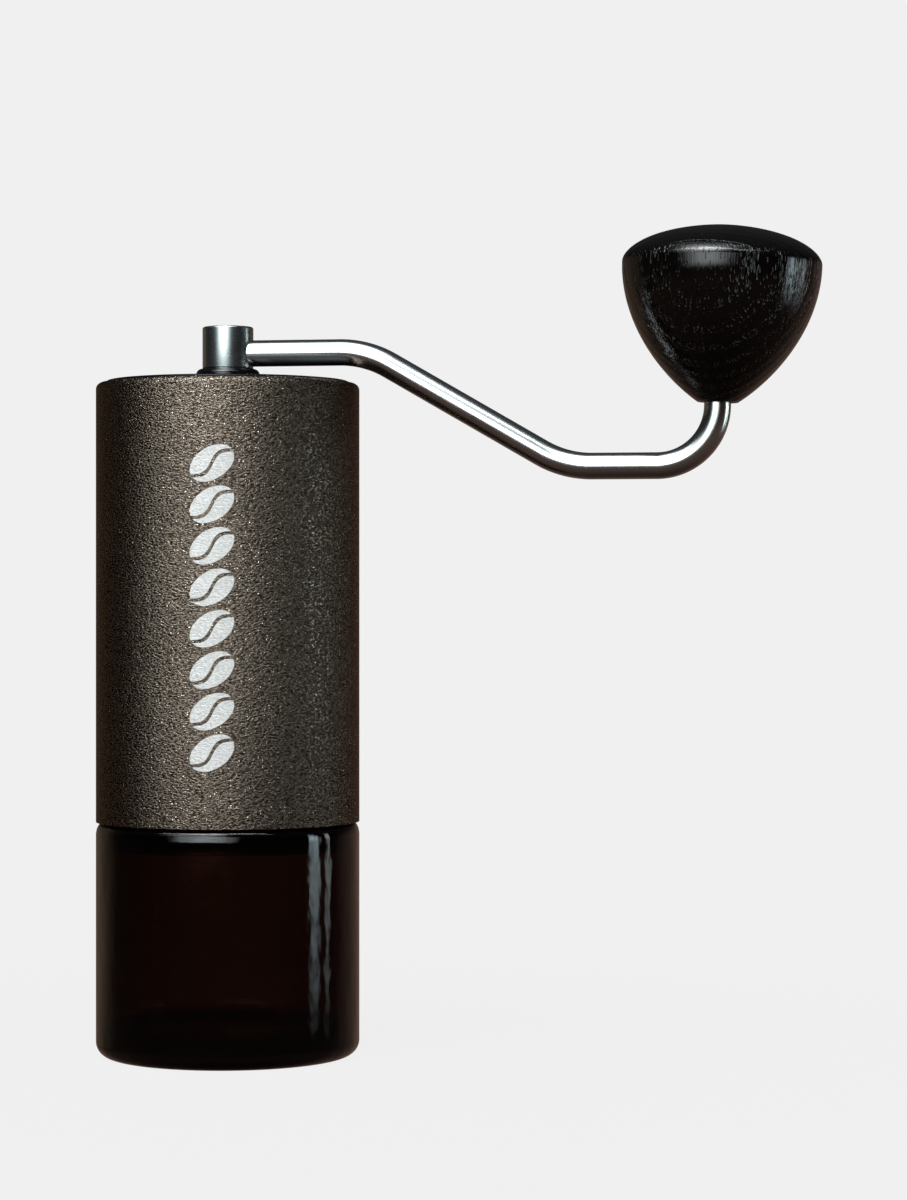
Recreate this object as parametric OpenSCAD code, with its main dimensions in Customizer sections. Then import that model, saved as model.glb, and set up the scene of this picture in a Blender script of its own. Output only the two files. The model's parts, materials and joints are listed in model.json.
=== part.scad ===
// Hand crank coffee grinder: a conical burr mill in a steel sleeve, on a screw-on glass jar.
// The origin is the centre of the jar's foot. +Z runs up the grinding axis, +X points to the knob.

/* [Body] */
// Outer diameter of the sleeve and of the jar
body_d = 60; // [59.5:0.1:62]
// Height of the jar from its foot to its shoulder
jar_h = 53; // [48:1:70]
// Height of the sleeve
sleeve_h = 99.9; // [96:0.1:120]
// Wall thickness of the sleeve
sleeve_wall = 1.2; // [1:0.1:1.3]
// Radius of the sleeve's rolled top edge
sleeve_edge = 1.5; // [1.3:0.1:2.2]

/* [Jar] */
// Wall thickness of the glass
glass_wall = 2.8; // [2:0.1:3.5]
// Thickness of the glass floor
glass_floor = 5; // [3:0.5:7]
// Height of the screw neck above the shoulder
neck_h = 10; // [9.5:0.5:10]
// Rise of the jar's thread in one turn
jar_pitch = 4; // [3.8:0.1:4.2]

/* [Grinding set] */
// Outer diameter of the fixed ring burr
ring_burr_d = 46; // [45:0.5:46]
// Height of the ring burr
ring_burr_h = 14; // [13:0.5:16]
// Angle between the grinding faces and the axis
burr_angle = 25; // [24:1:26]
// Radial gap between the burrs at the stored setting
burr_gap = 0.6; // [0.55:0.05:1]
// Number of clicks in one turn of the setting dial
dial_clicks = 12; // [8:1:16]

/* [Axle and bearings] */
// Diameter of the axle where the bearings hold it
axle_d = 8; // [8:0.1:8.2]
// Outer diameter of each ball bearing
bearing_d = 19; // [18.8:0.1:19.4]
// Number of balls in each bearing
ball_count = 7; // [5:1:8]

/* [Crank] */
// Diameter of the hub
hub_d = 11.6; // [11:0.1:13]
// Diameter of the arm's round rod
arm_d = 6; // [5:0.1:6.4]
// Distance from the axis to the arm's first bend
first_bend_x = 32.3; // [30:0.1:36]
// Distance that the arm steps down between its two small bends
arm_drop = 26.2; // [20:0.1:28]
// Angle of the step below the level
arm_slope = 30; // [25:1:35]
// Distance from the axis to the foot of the knob
crank_radius = 112; // [105:1:120]
// Angle by which the knob's spindle leans outwards
spindle_lean = 1.8; // [0:0.1:3]

/* [Knob] */
// Largest diameter of the knob
knob_d = 44.5; // [40:0.5:50]
// Height of the knob
knob_h = 39.5; // [36:0.1:44]

/* [Hidden] */
$fn = 96;

fit = 0.05;    // gap of a running or sliding fit
snug = 0.01;   // gap of a seat that holds its piece still
over = 1;      // how far a cutter runs past the surface that it opens

// Levels and radii of the sleeve
body_r = body_d / 2;
sleeve_z0 = jar_h + 0.3;
sleeve_z1 = sleeve_z0 + sleeve_h;
sleeve_bore_r = body_r - sleeve_wall;
lip_r = body_r - sleeve_edge - 0.4;

// Glass of the jar
foot_edge = 3.5;
shoulder_edge = 1.3;       // width of the shoulder's oval rounding
shoulder_drop = 2.8;       // its height
shoulder_h = 3;            // solid glass over the cavity
cavity_edge = 3;
recess_r = body_r - 7;     // shallow recess under the foot
recess_h = 1;

// Neck of the jar and the thread that it screws into
neck_r = 25.7;
neck_bore_r = 22.8;
neck_z1 = jar_h + neck_h;
thread_depth = 1;
thread_root = 0.6;         // how far a ridge is sunk into its wall
thread_half_h = 0.8;
thread_turns = 1.4;
jar_thread_z = jar_h + 2.8;
frame_thread_z = jar_thread_z + jar_pitch / 2;

// Stack of pieces in the lower half of the frame
seal_h = 1.6;
clamp_z0 = neck_z1 + seal_h + 0.1;
clamp_z1 = clamp_z0 + 3.3;
ring_z0 = clamp_z1;
ring_z1 = ring_z0 + ring_burr_h;
ring_burr_r = ring_burr_d / 2;
ring_foot_r = 19.5;        // radius of the grinding face at the ring burr's foot
throat_h = 8;              // height of the fine grinding face
throat_r = ring_foot_r - throat_h * tan(burr_angle);
screw_pcr = 24.9;
screw_r = 1.25;

// Inner frame
frame_r = sleeve_bore_r - 0.1;
frame_z0 = jar_h + 1;
frame_z1 = sleeve_z1 - sleeve_wall - 0.2;
frame_bore_r = neck_r + thread_depth + 0.3;
hopper_r = 25;
mouth_r = 25.6;
funnel_r = 21.3;
top_chamfer = 1.2;         // clears the inside of the sleeve's rolled edge
groove_h = 1;              // height of each snap ring's groove
groove_depth = 0.6;

// Bearing carriers and bearings
carrier_h = 7;
spoke_w = 4.4;
seat_lift = 2;             // from a carrier's underside to its bearing
lower_carrier_z = ring_z1 + 8;
upper_carrier_z = frame_z1 - 15.8;
bearing_h = 6;
bearing_r = bearing_d / 2;
lower_bearing_z = lower_carrier_z + seat_lift;
upper_bearing_z = upper_carrier_z + seat_lift;
axle_r = axle_d / 2;
ball_r = 1.5;
ball_track_r = (bearing_r + axle_r) / 2;
race_gap = 1.15;           // from the ball track to each race's shoulder
cage_half_h = 2.2;

// Cone burr, its insert and the setting dial
cone_z0 = ring_z0 - 0.6;
cone_z1 = cone_z0 + 17.6;
cone_foot_r = ring_foot_r - burr_gap + (ring_z0 - cone_z0) * tan(burr_angle);
cone_knee_z = ring_z0 + throat_h;
cone_knee_r = throat_r - burr_gap;
cone_top_r = 9.5;
insert_r = 7;
insert_z1 = cone_z1 + 1.6;
flange_r = 12.5;
flange_z0 = cone_z0 - 4;
detent_pcr = 10;
detent_ball_r = 1.2;
pocket_r = detent_ball_r + fit;
dial_z1 = flange_z0 - 0.1;
dial_h = 4.8;
dial_z0 = dial_z1 - dial_h;
dial_r = 15;
dial_hub_h = 1.5;
dimple_r = 1.3;
dimple_depth = 0.4;

// Axle
foot_r = 2.95;             // threaded foot, drawn at its outer diameter
foot_z0 = dial_z0 - 3;
drive_hex = 6.4;           // across the flats, under the burr
drive_hex_z0 = cone_z0 - 0.6;
journal_z0 = insert_z1 + 1.4;
journal_z1 = upper_bearing_z + bearing_h + 1;
top_hex = 6;               // across the flats, in the crank's socket
washer_z1 = lower_bearing_z - 0.05;
washer_h = 0.55;

// Lid and hub
lid_r = lip_r - 0.4;
lid_z0 = frame_z1 + 0.02;
lid_z1 = sleeve_z1 + 0.5;
lid_edge = 1.2;
skirt_r = mouth_r - 1;
skirt_z0 = lid_z0 - 4.8;
seal_ring_r = 0.8;
seal_ring_z = lid_z0 - 2.4;
bush_r = 6.4;
bush_bore_r = 5.25;
bush_flange_r = 7.25;
bush_z0 = lid_z0 - 3.2;
bush_z1 = lid_z1 + 2.8;
boss_r = bush_bore_r - fit;
hub_r = hub_d / 2;
hub_z0 = bush_z1 + 0.1;
hub_z1 = hub_z0 + 9.5;
hub_edge = 0.7;
boss_z0 = bush_z0 - 1.2;
socket_r = 4.3;
socket_z1 = hub_z0 - 0.6;
axle_z1 = socket_z1 - 1.1;
clip_h = 0.46;

// Arm, drawn in the XZ plane. Directions are angles above the level.
arm_r = arm_d / 2;
arm_z = hub_z0 + 3.4;
arm_root_x = -3.6;
arm_sides = 32;
small_bend_r = 23;
large_bend_r = 13.5;
low_z = arm_z - arm_drop;
second_bend_x = first_bend_x + arm_drop / tan(arm_slope);
knob_z = low_z + 13.9;
spindle_angle = 90 - spindle_lean;
corner_x = crank_radius - (knob_z - low_z) / tan(spindle_angle);
arm_corners = [[first_bend_x, arm_z], [second_bend_x, low_z], [corner_x, low_z]];
spindle_end = 24;          // above the knob's foot, along the spindle

// Knob: two Bezier curves meet at the widest ring
knob_r = knob_d / 2;
knob_foot_r = 4.5;
knob_belly = 0.78 * knob_h;
knob_side = [[knob_foot_r, 0], [0.582 * knob_r, 0.143 * knob_h], [knob_r, 0.436 * knob_h],
    [knob_r, knob_belly]];
knob_dome = [[knob_r, knob_belly], [knob_r, 0.849 * knob_h], [0.744 * knob_r, 0.98 * knob_h], [0, knob_h]];
knob_bore_r = 3.91;
knob_bore_h = 27;
knob_clip_z = 21.6;

function across_flats_r(width) = width / (2 * cos(30));

function bezier(p, t) =
    pow(1 - t, 3) * p[0] + 3 * pow(1 - t, 2) * t * p[1] + 3 * (1 - t) * t * t * p[2] + pow(t, 3) * p[3];

function bezier_points(p, steps, first) = [for (i = [first : steps]) bezier(p, i / steps)];

// Ring of square section between two radii and two levels
module ring(inner_r, outer_r, z0, z1) {
    rotate_extrude() translate([inner_r, z0]) square([outer_r - inner_r, z1 - z0]);
}

module disc(r, z0, z1) {
    translate([0, 0, z0]) cylinder(r = r, h = z1 - z0);
}

module hexagon(width, z0, z1) {
    translate([0, 0, z0]) cylinder(r = across_flats_r(width), h = z1 - z0, $fn = 6);
}

// Open spring ring with its gap on the -X side
module open_ring(inner_r, outer_r, z0, z1, opening) {
    rotate([0, 0, 180 + opening / 2])
        rotate_extrude(angle = 360 - opening) translate([inner_r, z0]) square([outer_r - inner_r, z1 - z0]);
}

// Half section from the axis to r whose top outer corner has the radius e
module soft_top(r, z0, z1, e) {
    translate([0, z0]) square([r - e, z1 - z0]);
    translate([0, z0]) square([r, z1 - z0 - e]);
    intersection() {
        translate([r - e, z1 - e]) circle(e);
        translate([0, z0]) square([r, z1 - z0]);
    }
}

// Half section from the axis to r with the corner radii e0 below and e1 above
module soft_block(r, z0, z1, e0, e1) {
    soft_top(r, z0 + e0, z1, e1);
    translate([0, z0]) square([r - e0, e0 + over]);
    translate([r - e0, z0 + e0]) circle(e0);
}

// Solid through a row of rings of 3D points. Each ring runs anticlockwise seen along the row.
module skin(rings) {
    n = len(rings[0]);
    last = len(rings) - 1;
    sides = [for (i = [0 : last - 1]) for (k = [0 : n - 1]) let (a = i * n + k, b = i * n + (k + 1) % n)
        each [[a, b + n, a + n], [a, b, b + n]]];
    start_cap = [[for (k = [n - 1 : -1 : 0]) k]];
    end_cap = [[for (k = [0 : n - 1]) last * n + k]];
    polyhedron([for (ring = rings) each ring], concat(sides, start_cap, end_cap));
}

// Sweeps an outline of [radius, height] points up a right-hand helix. Over the share fade of a turn,
// each end runs out to the radius root.
module helix(outline, pitch, turns, steps, root, fade) {
    last = ceil(turns * steps);
    function rise(i) = fade == 0 ? 1 : min(1, (min(i, last - i) + 0.2) / (fade * steps));
    function swept(p, i) = let (r = root + (p.x - root) * rise(i), a = 360 * i / steps)
        [r * cos(a), r * sin(a), p.y + pitch * i / steps];
    skin([for (i = [0 : last]) [for (p = outline) swept(p, i)]]);
}

// Ridge of a thread from the radius root, inside its wall, to the radius crest
module thread_ridge(root, crest, z) {
    h = thread_half_h;
    outline = root < crest
        ? [[root, z - h], [crest, z - h / 2], [crest, z + h / 2], [root, z + h]]
        : [[root, z - h], [root, z + h], [crest, z + h / 2], [crest, z - h / 2]];
    helix(outline, jar_pitch, thread_turns, 48, root, 0.1);
}

module coil_spring(mean_r, wire_r, z0, z1, turns, steps, sides) {
    outline = [for (k = [0 : sides - 1]) let (a = 360 * k / sides)
        [mean_r + wire_r * cos(a), z0 + wire_r * (1 + sin(a))]];
    helix(outline, (z1 - z0 - 2 * wire_r) / turns, turns, steps, 0, 0);
}

// Places its children at the knob's foot, turned to the leaning spindle
module at_spindle() {
    translate([crank_radius, 0, knob_z]) rotate([0, spindle_lean, 0]) children();
}

// --- Housing -----------------------------------------------------------------------------------------

module outer_sleeve() {
    color("#3b342e")
        rotate_extrude() difference() {
            intersection() {
                soft_top(body_r, sleeve_z0, sleeve_z1, sleeve_edge);
                translate([lip_r, sleeve_z0]) square([body_r, sleeve_h]);
            }
            soft_top(sleeve_bore_r, sleeve_z0 - over, sleeve_z1 - sleeve_wall, sleeve_edge - sleeve_wall);
        }
}

// Corners of a snap ring's groove in a bore of radius r
function groove(r, z) =
    [[r, z], [r + groove_depth, z], [r + groove_depth, z + groove_h], [r, z + groove_h]];

module frame_section() {
    polygon([
        [frame_bore_r, frame_z0], [frame_bore_r, ring_z0], [ring_burr_r + fit, ring_z0],
        [ring_burr_r + fit, ring_z1], [funnel_r, ring_z1], [hopper_r - 1, ring_z1 + 5],
        [hopper_r - 1, lower_carrier_z], [hopper_r, lower_carrier_z],
        each groove(hopper_r, lower_carrier_z + carrier_h),
        [hopper_r, upper_carrier_z], [mouth_r, upper_carrier_z],
        each groove(mouth_r, upper_carrier_z + carrier_h),
        [mouth_r, frame_z1], [frame_r - top_chamfer, frame_z1], [frame_r, frame_z1 - top_chamfer],
        [frame_r, frame_z0]
    ]);
}

module inner_frame() {
    color("#1c1c1e") {
        difference() {
            rotate_extrude() frame_section();
            at_ring_screws() disc(screw_r + fit, ring_z0 - over, ring_z0 + 8);
        }
        thread_ridge(frame_bore_r + thread_root, neck_r + 0.25, frame_thread_z);
    }
}

module at_ring_screws() {
    for (a = [0 : 120 : 240]) rotate([0, 0, a]) translate([screw_pcr, 0, 0]) children();
}

// Three-spoke carrier whose bearing drops in from above
module carrier(z, rim_r) {
    color("#2a2a2d")
        difference() {
            union() {
                ring(rim_r - 2, rim_r, z, z + carrier_h);
                disc(bearing_r + 2.4, z, z + seat_lift + bearing_h + 0.2);
                for (a = [30 : 120 : 270])
                    rotate([0, 0, a]) translate([bearing_r, -spoke_w / 2, z])
                        cube([rim_r - 1 - bearing_r, spoke_w, carrier_h - 0.5]);
            }
            disc(bearing_r - 1.5, z - over, z + seat_lift + over);
            disc(bearing_r + snug, z + seat_lift, z + seat_lift + bearing_h + over);
        }
}

module upper_carrier() { carrier(upper_carrier_z, mouth_r - fit); }

module lower_carrier() { carrier(lower_carrier_z, hopper_r - fit); }

module snap_ring(r, z) {
    color("silver") open_ring(r - 1.6, r + groove_depth - 0.1, z + fit, z + groove_h - fit, 40);
}

module upper_snap_ring() { snap_ring(mouth_r, upper_carrier_z + carrier_h); }

module lower_snap_ring() { snap_ring(hopper_r, lower_carrier_z + carrier_h); }

// Race between two radii, with a groove for the balls
module race(inner_r, outer_r, z) {
    color("silver")
        rotate_extrude() difference() {
            translate([inner_r, z]) square([outer_r - inner_r, bearing_h]);
            translate([ball_track_r, z + bearing_h / 2]) circle(ball_r + 0.03);
        }
}

module outer_race(z) { race(ball_track_r + race_gap, bearing_r, z); }

module inner_race(z) { race(axle_r + snug, ball_track_r - race_gap, z); }

module upper_outer_race() { outer_race(upper_bearing_z); }

module lower_outer_race() { outer_race(lower_bearing_z); }

// Retaining ring of the grinding set, countersunk for its three screws
module burr_retaining_ring() {
    color("#2a2a2d")
        difference() {
            ring(20.6, frame_bore_r - 0.1, clamp_z0, clamp_z1);
            at_ring_screws() disc(screw_r + 0.15, clamp_z0 - over, clamp_z1 + over);
            at_ring_screws() translate([0, 0, clamp_z0 - snug])
                cylinder(r1 = 2, r2 = screw_r + 0.15, h = 0.9);
        }
}

module burr_ring_screws() {
    color("silver")
        at_ring_screws() difference() {
            union() {
                translate([0, 0, clamp_z0 + 0.1]) cylinder(r1 = 1.75, r2 = screw_r, h = 0.75);
                disc(screw_r, clamp_z0 + 0.8, ring_z0 + 7.5);
            }
            hexagon(1.5, clamp_z0 - over, clamp_z0 + 1);
        }
}

// Slanted cutter that lies along a grinding face. slant turns it out of the plane of the axis.
module tooth_cutter(r, z, slant, width, depth, length) {
    translate([r, 0, z]) rotate([0, -burr_angle, 0]) rotate([slant, 0, 0])
        cube([2 * depth, width, length], center = true);
}

module ring_burr() {
    mid_r = (ring_foot_r + throat_r) / 2;
    color("#b9b7b2")
        difference() {
            rotate_extrude() polygon([
                [ring_foot_r, ring_z0], [throat_r, ring_z0 + throat_h], [funnel_r, ring_z1],
                [ring_burr_r, ring_z1], [ring_burr_r, ring_z0]
            ]);
            for (a = [0 : 15 : 345])
                rotate([0, 0, a])
                    tooth_cutter(mid_r, ring_z0 + throat_h / 2, 18, 1.5, 0.8, 15);
        }
}

// --- Bearing balls and cages -------------------------------------------------------------------------

module at_balls(z) {
    for (i = [0 : ball_count - 1])
        rotate([0, 0, 360 * i / ball_count]) translate([ball_track_r, 0, z + bearing_h / 2]) children();
}

module balls(z) {
    color("gainsboro") at_balls(z) sphere(ball_r, $fn = 32);
}

module cage(z) {
    mid = z + bearing_h / 2;
    color("#7d5a2c")
        difference() {
            ring(ball_track_r - 0.6, ball_track_r + 0.6, mid - cage_half_h, mid + cage_half_h);
            at_balls(z) sphere(ball_r + fit, $fn = 32);
        }
}

module upper_balls() { balls(upper_bearing_z); }

module lower_balls() { balls(lower_bearing_z); }

module upper_cage() { cage(upper_bearing_z); }

module lower_cage() { cage(lower_bearing_z); }

// --- Axle --------------------------------------------------------------------------------------------

module drive_axle() {
    clip_z = upper_bearing_z + bearing_h;
    color("silver")
        difference() {
            union() {
                disc(foot_r, foot_z0, drive_hex_z0);
                hexagon(drive_hex, drive_hex_z0, journal_z0);
                disc(axle_r, journal_z0, journal_z1);
                hexagon(top_hex, journal_z1, axle_z1);
            }
            ring(axle_r - 0.4, axle_r + over, clip_z + 0.05, clip_z + 0.85);
        }
}

module upper_inner_race() { inner_race(upper_bearing_z); }

module lower_inner_race() { inner_race(lower_bearing_z); }

module axle_circlip() {
    clip_z = upper_bearing_z + bearing_h;
    color("dimgray") open_ring(axle_r - 0.35, axle_r + 1.5, clip_z + 0.1, clip_z + 0.8, 60);
}

module spring_washer() {
    color("silver") ring(axle_r + 0.1, 7.2, washer_z1 - washer_h, washer_z1);
}

module burr_spring() {
    color("gray") coil_spring(5.3, 0.55, insert_z1 + fit, washer_z1 - washer_h - fit, 3, 24, 8);
}

// --- Cone burr and dial ------------------------------------------------------------------------------

module cone_burr() {
    mid_r = (cone_foot_r + cone_knee_r) / 2;
    color("#b9b7b2")
        difference() {
            rotate_extrude() polygon([
                [insert_r + snug, cone_z0], [cone_foot_r, cone_z0], [cone_knee_r, cone_knee_z],
                [cone_top_r, cone_z1 - 0.6], [cone_top_r - 0.6, cone_z1], [insert_r + snug, cone_z1]
            ]);
            for (a = [0 : 15 : 345])
                rotate([0, 0, a])
                    tooth_cutter(mid_r, ring_z0 + throat_h / 2, -18, 1.4, 0.7, 14);
            for (a = [0 : 60 : 300])
                rotate([0, 0, a]) translate([cone_top_r + 3.4, 0, cone_z1 - 3]) rotate([0, -34, 0])
                    rotate([-26, 0, 0]) cube([4.4, 3.4, 17], center = true);
        }
}

module at_detents() {
    for (a = [0, 180]) rotate([0, 0, a]) translate([detent_pcr, 0, 0]) children();
}

module burr_insert() {
    color("#202022")
        difference() {
            union() {
                disc(insert_r, flange_z0, insert_z1);
                disc(flange_r, flange_z0, cone_z0);
            }
            hexagon(drive_hex + 2 * fit, flange_z0 - over, insert_z1 + over);
            at_detents() disc(pocket_r, flange_z0 - over, cone_z0 - 0.2);
        }
}

module detent_balls() {
    color("gainsboro")
        at_detents() translate([0, 0, dial_z1 + fit + detent_ball_r]) sphere(detent_ball_r, $fn = 32);
}

module detent_springs() {
    color("gray")
        at_detents()
            coil_spring(0.8, 0.18, dial_z1 + 2 * (fit + detent_ball_r), cone_z0 - 0.22, 2.5, 16, 6);
}

module adjust_dial() {
    step = 360 / dial_clicks;
    color("#9c9a96")
        difference() {
            union() {
                disc(dial_r, dial_z0, dial_z1);
                disc(6, dial_z0 - dial_hub_h, dial_z0 + over);
            }
            disc(foot_r + fit, dial_z0 - dial_hub_h - over, dial_z1 + over);
            for (i = [0 : dial_clicks - 1]) {
                rotate([0, 0, (i + 0.5) * step]) translate([dial_r + 1, 0, 0])
                    disc(2.2, dial_z0 - over, dial_z1 + over);
                rotate([0, 0, i * step]) translate([detent_pcr, 0, dial_z1 - dimple_depth + dimple_r])
                    sphere(dimple_r, $fn = 32);
            }
        }
}

// --- Lid ---------------------------------------------------------------------------------------------

module lid() {
    color("#151517")
        difference() {
            union() {
                rotate_extrude() soft_top(lid_r, lid_z0, lid_z1, lid_edge);
                ring(skirt_r - 1.6, skirt_r, skirt_z0, lid_z0 + over);
                disc(9, bush_z0, lid_z0 + over);
                for (a = [0 : 60 : 300])
                    rotate([0, 0, a]) translate([8, -0.6, lid_z0 - 2]) cube([skirt_r - 9, 1.2, 2.5]);
            }
            disc(bush_r + snug, bush_z0 - over, lid_z1 + over);
            ring(skirt_r - 0.7, skirt_r + over, seal_ring_z - 0.85, seal_ring_z + 0.85);
        }
}

module lid_bush() {
    color("#0c0c0d")
        rotate_extrude() difference() {
            union() {
                translate([0, bush_z0]) square([bush_r, lid_z1 - bush_z0 + over]);
                soft_block(bush_flange_r, lid_z1, bush_z1, 0.3, 0.8);
            }
            translate([0, bush_z0 - over]) square([bush_bore_r, bush_z1 - bush_z0 + 2 * over]);
        }
}

module lid_seal() {
    color("#111111")
        rotate_extrude() translate([mouth_r - 0.1 - seal_ring_r, seal_ring_z]) circle(seal_ring_r - 0.02);
}

// --- Crank -------------------------------------------------------------------------------------------

module crank_hub() {
    color("silver")
        difference() {
            union() {
                rotate_extrude() soft_top(hub_r, hub_z0, hub_z1, hub_edge);
                disc(boss_r, boss_z0, hub_z0 + over);
            }
            disc(socket_r + snug, boss_z0 - over, socket_z1 + snug);
            ring(boss_r - 0.4, boss_r + over, boss_z0 + 0.6, bush_z0 - 0.08);
            translate([arm_root_x, 0, arm_z]) rotate([0, 90, 0]) cylinder(r = arm_r + snug, h = 4 * hub_r);
        }
}

module drive_socket() {
    color("#2a2a2d")
        difference() {
            disc(socket_r, boss_z0, socket_z1);
            hexagon(top_hex + 2 * fit, boss_z0 - over, axle_z1 + 0.5);
        }
}

module hub_circlip() {
    z1 = bush_z0 - 0.1;
    color("dimgray") open_ring(boss_r - 0.35, boss_r + 2, z1 - clip_h, z1, 60);
}

function along(angle) = [cos(angle), sin(angle)];

function above(angle) = [-sin(angle), cos(angle)];

// Stations [x, z, direction, radius] round one bend of the rod, between two directions
function bend(corner, before, after, r, steps) =
    let (turn = after - before, start = corner - r * tan(abs(turn) / 2) * along(before))
    [for (i = [0 : steps]) let (a = before + turn * i / steps)
        concat(start + sign(turn) * r * (above(before) - above(a)), [a, arm_r])];

// Station on the spindle's axis, at a distance above the knob's foot
function on_spindle(s, r) = concat([crank_radius, knob_z] + s * along(spindle_angle), [spindle_angle, r]);

// Ring of points round a station
function rod_ring(station) = [for (k = [0 : arm_sides - 1])
    let (a = 360 * k / arm_sides, p = station + station[3] * sin(a) * concat(above(station[2]), [0, 0]))
        [p[0], -station[3] * cos(a), p[1]]];

module crank_arm() {
    core_r = arm_r - 0.015;
    stations = concat(
        [[arm_root_x + 0.1, arm_z, 0, arm_r]],
        bend(arm_corners[0], 0, -arm_slope, small_bend_r, 6),
        bend(arm_corners[1], -arm_slope, 0, small_bend_r, 6),
        bend(arm_corners[2], 0, spindle_angle, large_bend_r, 16),
        [on_spindle(-0.6, core_r), on_spindle(1, core_r)]
    );
    color("silver")
        difference() {
            union() {
                skin([for (station = stations) rod_ring(station)]);
                at_spindle() disc(arm_r, -0.5, spindle_end);
            }
            at_spindle() ring(arm_r - 0.5, arm_r + over, knob_clip_z, knob_clip_z + 0.8);
        }
}

module knob_circlip() {
    color("dimgray")
        at_spindle() open_ring(arm_r - 0.45, knob_bore_r - 0.1, knob_clip_z + 0.08, knob_clip_z + 0.72, 60);
}

// --- Knob --------------------------------------------------------------------------------------------

module knob() {
    outline = concat([[0, 0]], bezier_points(knob_side, 20, 0), bezier_points(knob_dome, 16, 1));
    color("#17150f")
        at_spindle() difference() {
            rotate_extrude() polygon(outline);
            disc(knob_bore_r, -over, knob_bore_h);
        }
}

module knob_bush() {
    color("#0c0c0d") at_spindle() ring(arm_r + fit, knob_bore_r - snug, 0.2, knob_clip_z - 0.1);
}

// --- Jar ---------------------------------------------------------------------------------------------

module jar_seal() {
    color("#111111") ring(neck_bore_r + 0.2, neck_r - 0.1, neck_z1 + 0.02, neck_z1 + seal_h);
}

// Corner points of the shoulder's oval rounding, from the side wall up
function shoulder_points(steps) = [for (i = [0 : steps]) let (a = 90 * i / steps)
    [body_r - shoulder_edge * (1 - cos(a)), jar_h - shoulder_drop * (1 - sin(a))]];

module jar_section() {
    cavity_z1 = jar_h - shoulder_h;
    difference() {
        union() {
            square([body_r - foot_edge, 2 * foot_edge]);
            translate([body_r - foot_edge, foot_edge]) circle(foot_edge);
            polygon(concat([[0, foot_edge], [body_r, foot_edge]], shoulder_points(12), [[0, jar_h]]));
            translate([0, jar_h - over]) square([neck_r, neck_h + over]);
        }
        soft_block(body_r - glass_wall, glass_floor, cavity_z1, foot_edge, cavity_edge);
        translate([0, cavity_z1 - cavity_edge])
            square([neck_bore_r, neck_z1 - cavity_z1 + cavity_edge + over]);
    }
}

module jar() {
    color("#2a120a") {
        difference() {
            rotate_extrude() jar_section();
            translate([0, 0, -snug]) cylinder(r1 = recess_r, r2 = recess_r - 2, h = recess_h);
        }
        thread_ridge(neck_r - thread_root, neck_r + thread_depth, jar_thread_z);
    }
}

outer_sleeve();
inner_frame();
upper_carrier();
lower_carrier();
upper_snap_ring();
lower_snap_ring();
upper_outer_race();
lower_outer_race();
ring_burr();
burr_retaining_ring();
burr_ring_screws();
upper_cage();
upper_balls();
lower_cage();
lower_balls();
drive_axle();
upper_inner_race();
lower_inner_race();
axle_circlip();
spring_washer();
burr_spring();
cone_burr();
burr_insert();
detent_balls();
detent_springs();
adjust_dial();
lid();
lid_bush();
lid_seal();
crank_hub();
drive_socket();
crank_arm();
hub_circlip();
knob_circlip();
knob();
knob_bush();
jar_seal();
jar();
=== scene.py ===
"""Looks of a hand crank coffee grinder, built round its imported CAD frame. All sizes are in metres."""

import json
import math

import bmesh
import bpy
from mathutils import Matrix, Vector


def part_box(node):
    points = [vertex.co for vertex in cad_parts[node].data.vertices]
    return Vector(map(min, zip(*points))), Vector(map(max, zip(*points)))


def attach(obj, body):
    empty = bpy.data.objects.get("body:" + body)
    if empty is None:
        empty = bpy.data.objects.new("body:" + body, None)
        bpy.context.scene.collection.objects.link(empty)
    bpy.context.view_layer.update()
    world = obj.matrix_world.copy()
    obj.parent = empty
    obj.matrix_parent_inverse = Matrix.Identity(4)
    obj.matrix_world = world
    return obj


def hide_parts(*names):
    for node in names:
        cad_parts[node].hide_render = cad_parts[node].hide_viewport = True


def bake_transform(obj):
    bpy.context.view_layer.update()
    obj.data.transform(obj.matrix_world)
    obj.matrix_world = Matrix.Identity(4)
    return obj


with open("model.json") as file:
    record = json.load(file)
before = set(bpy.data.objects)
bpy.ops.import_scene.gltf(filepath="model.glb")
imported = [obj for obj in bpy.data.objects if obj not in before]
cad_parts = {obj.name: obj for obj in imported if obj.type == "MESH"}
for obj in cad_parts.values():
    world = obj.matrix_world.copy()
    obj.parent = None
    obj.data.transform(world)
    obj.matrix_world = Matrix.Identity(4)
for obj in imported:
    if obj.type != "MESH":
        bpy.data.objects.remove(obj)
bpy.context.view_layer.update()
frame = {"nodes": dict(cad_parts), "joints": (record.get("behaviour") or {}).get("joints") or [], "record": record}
nodes = frame["nodes"]
joints = {joint["name"]: joint for joint in frame["joints"]}

MM = 0.001
LATHE_SIDES = 192


# --- Camera and stage ---------------------------------------------------------------------------------

CAMERA_AZIMUTH = math.radians(10)
CAMERA_DISTANCE = 0.770
CAMERA_SIDE = 0.0515        # how far the view's middle lies to the right of the grinding axis
CAMERA_HEIGHT = 0.1038
CAMERA_LENS = 101.16        # on a 36 mm sensor
FLOOR_GREY = 0.871
FLOOR_SHARE = 0.975         # of the floor's light near the object that no shadow can dim


def toward_camera(azimuth, elevation):
    """Unit vector from the object, at angles in degrees to the right of and above the camera's direction."""
    a = CAMERA_AZIMUTH + math.radians(azimuth)
    e = math.radians(elevation)
    return Vector((math.sin(a) * math.cos(e), -math.cos(a) * math.cos(e), math.sin(e)))


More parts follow.
